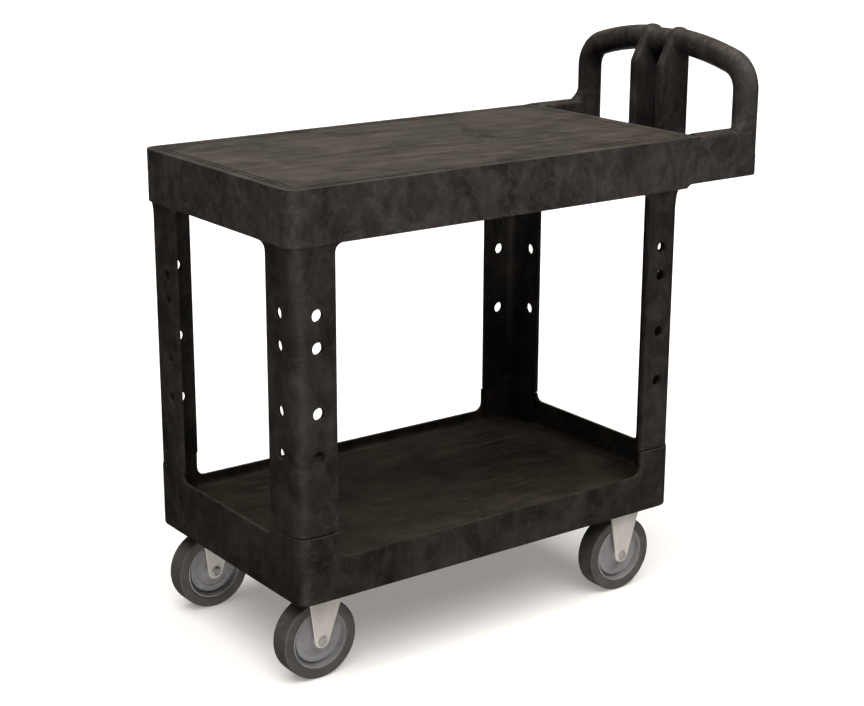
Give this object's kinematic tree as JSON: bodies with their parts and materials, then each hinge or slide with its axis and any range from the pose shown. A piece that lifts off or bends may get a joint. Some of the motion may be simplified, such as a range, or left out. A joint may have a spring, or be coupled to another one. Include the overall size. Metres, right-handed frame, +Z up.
{
  "type": "food service trolley",
  "caption": "Two-shelf moulded service trolley with a flat top deck, a lipped lower tray, a looped push handle and wheels at its corners.",
  "frame": {"origin": "on the floor, under the middle of the trolley's overall length and width", "axes": "+X along the trolley towards the push handle, +Y across it, +Z up"},
  "size_m": [0.912, 0.432, 0.9087],
  "materials": {
    "black_plastic": "charcoal structural-foam moulding with a dull sheen and faint swirled flow marks",
    "tyre_rubber": "dark grey moulded rubber tread, matte",
    "hub_plastic": "mid grey moulded polypropylene hub, satin",
    "zinc_plate": "pressed steel with bright zinc plating, soft satin",
    "plated_steel": "zinc-plated fasteners and turned pins, satin"
  },
  "bodies": {
    "frame": {"axle_bolt_left_back": "plated_steel", "axle_bolt_left_front": "plated_steel", "axle_nut_left_back": "plated_steel", "axle_nut_left_front": "plated_steel", "axle_sleeve_left_back": "plated_steel", "axle_sleeve_left_front": "plated_steel", "ball_race_right_back": "plated_steel", "ball_race_right_front": "plated_steel", "kingpin_right_back": "plated_steel", "kingpin_right_front": "plated_steel", "leg_left_back": "black_plastic", "leg_left_front": "black_plastic", "leg_right_back": "black_plastic", "leg_right_front": "black_plastic", "lower_shelf": "black_plastic", "plate_bolt_left_back_1": "plated_steel", "plate_bolt_left_back_2": "plated_steel", "plate_bolt_left_back_3": "plated_steel", "plate_bolt_left_back_4": "plated_steel", "plate_bolt_left_front_1": "plated_steel", "plate_bolt_left_front_2": "plated_steel", "plate_bolt_left_front_3": "plated_steel", "plate_bolt_left_front_4": "plated_steel", "plate_bolt_right_back_1": "plated_steel", "plate_bolt_right_back_2": "plated_steel", "plate_bolt_right_back_3": "plated_steel", "plate_bolt_right_back_4": "plated_steel", "plate_bolt_right_front_1": "plated_steel", "plate_bolt_right_front_2": "plated_steel", "plate_bolt_right_front_3": "plated_steel", "plate_bolt_right_front_4": "plated_steel", "rigid_bracket_left_back": "zinc_plate", "rigid_bracket_left_front": "zinc_plate", "swivel_plate_right_back": "zinc_plate", "swivel_plate_right_front": "zinc_plate", "upper_shelf": "black_plastic"},
    "wheel_left_front": {"tyre_left_front": "tyre_rubber", "hub_left_front": "hub_plastic"},
    "wheel_left_back": {"tyre_left_back": "tyre_rubber", "hub_left_back": "hub_plastic"},
    "wheel_right_front": {"tyre_right_front": "tyre_rubber", "hub_right_front": "hub_plastic"},
    "wheel_right_back": {"tyre_right_back": "tyre_rubber", "hub_right_back": "hub_plastic"},
    "swivel_right_front": {"swivel_fork_right_front": "zinc_plate", "axle_sleeve_right_front": "plated_steel", "axle_bolt_right_front": "plated_steel", "axle_nut_right_front": "plated_steel"},
    "swivel_right_back": {"swivel_fork_right_back": "zinc_plate", "axle_sleeve_right_back": "plated_steel", "axle_bolt_right_back": "plated_steel", "axle_nut_right_back": "plated_steel"}
  },
  "joints": [
    {"name": "wheel_spin_left_front", "type": "hinge", "parent": "frame", "child": "wheel_left_front", "pos_m": [-0.392, -0.16, 0.0635], "axis": [0, 1, 0], "continuous": true},
    {"name": "wheel_spin_left_back", "type": "hinge", "parent": "frame", "child": "wheel_left_back", "pos_m": [-0.392, 0.16, 0.0635], "axis": [0, 1, 0], "continuous": true},
    {"name": "wheel_spin_right_front", "type": "hinge", "parent": "swivel_right_front", "child": "wheel_right_front", "pos_m": [0.193, -0.176, 0.0635], "axis": [0, 1, 0], "continuous": true},
    {"name": "caster_swivel_right_front", "type": "hinge", "parent": "frame", "child": "swivel_right_front", "pos_m": [0.207, -0.176, 0.14], "axis": [0, 0, 1], "continuous": true},
    {"name": "wheel_spin_right_back", "type": "hinge", "parent": "swivel_right_back", "child": "wheel_right_back", "pos_m": [0.193, 0.176, 0.0635], "axis": [0, 1, 0], "continuous": true},
    {"name": "caster_swivel_right_back", "type": "hinge", "parent": "frame", "child": "swivel_right_back", "pos_m": [0.207, 0.176, 0.14], "axis": [0, 0, 1], "continuous": true}
  ]
}
